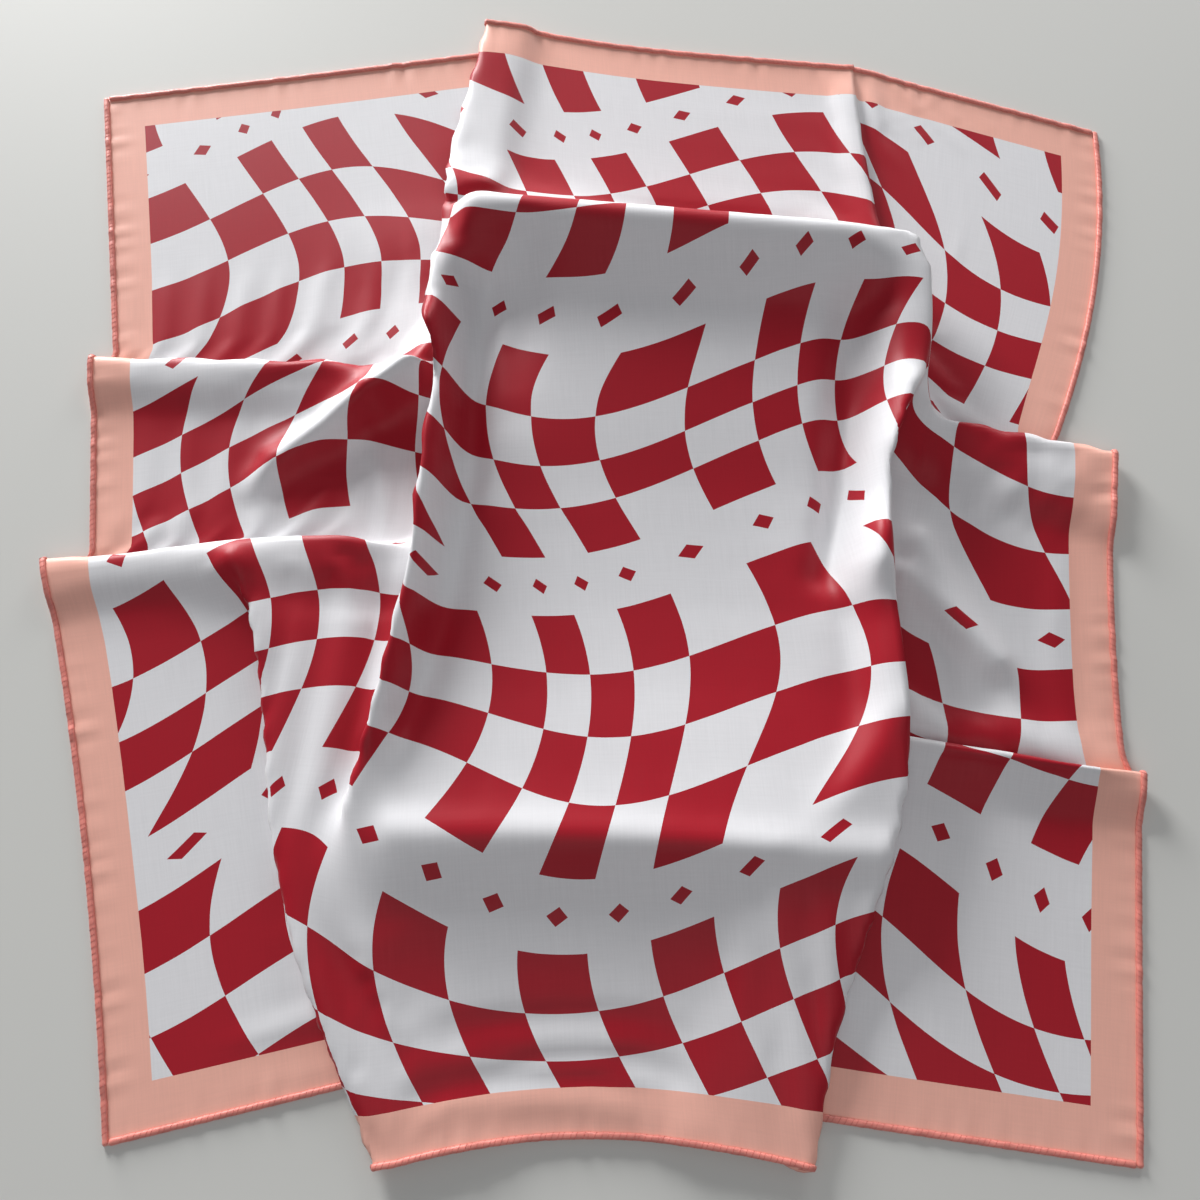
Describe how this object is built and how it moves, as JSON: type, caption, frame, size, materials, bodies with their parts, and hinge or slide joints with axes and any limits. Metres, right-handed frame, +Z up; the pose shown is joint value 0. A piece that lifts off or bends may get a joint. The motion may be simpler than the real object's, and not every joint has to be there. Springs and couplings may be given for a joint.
{
  "type": "square scarf",
  "caption": "Square satin scarf laid out on a surface, softly folded and tucked, with a checked middle, plain border and rolled hems.",
  "frame": {"origin": "on the surface the scarf lies on, under the middle of its box", "axes": "+Z up from the surface, through the laid cloth; +Y towards the far hem, which is folded least; +X towards the right hem"},
  "size_m": [0.6471, 0.7052, 0.034],
  "materials": {
    "printed_satin": "thin printed satin in crimson and off-white with a plain pink border",
    "hem_satin": "coral satin rolled over and stitched"
  },
  "bodies": {
    "root": {"scarf_cloth": "printed_satin", "hem_near": "hem_satin", "hem_far": "hem_satin", "hem_left": "hem_satin", "hem_right": "hem_satin"}
  },
  "joints": []
}
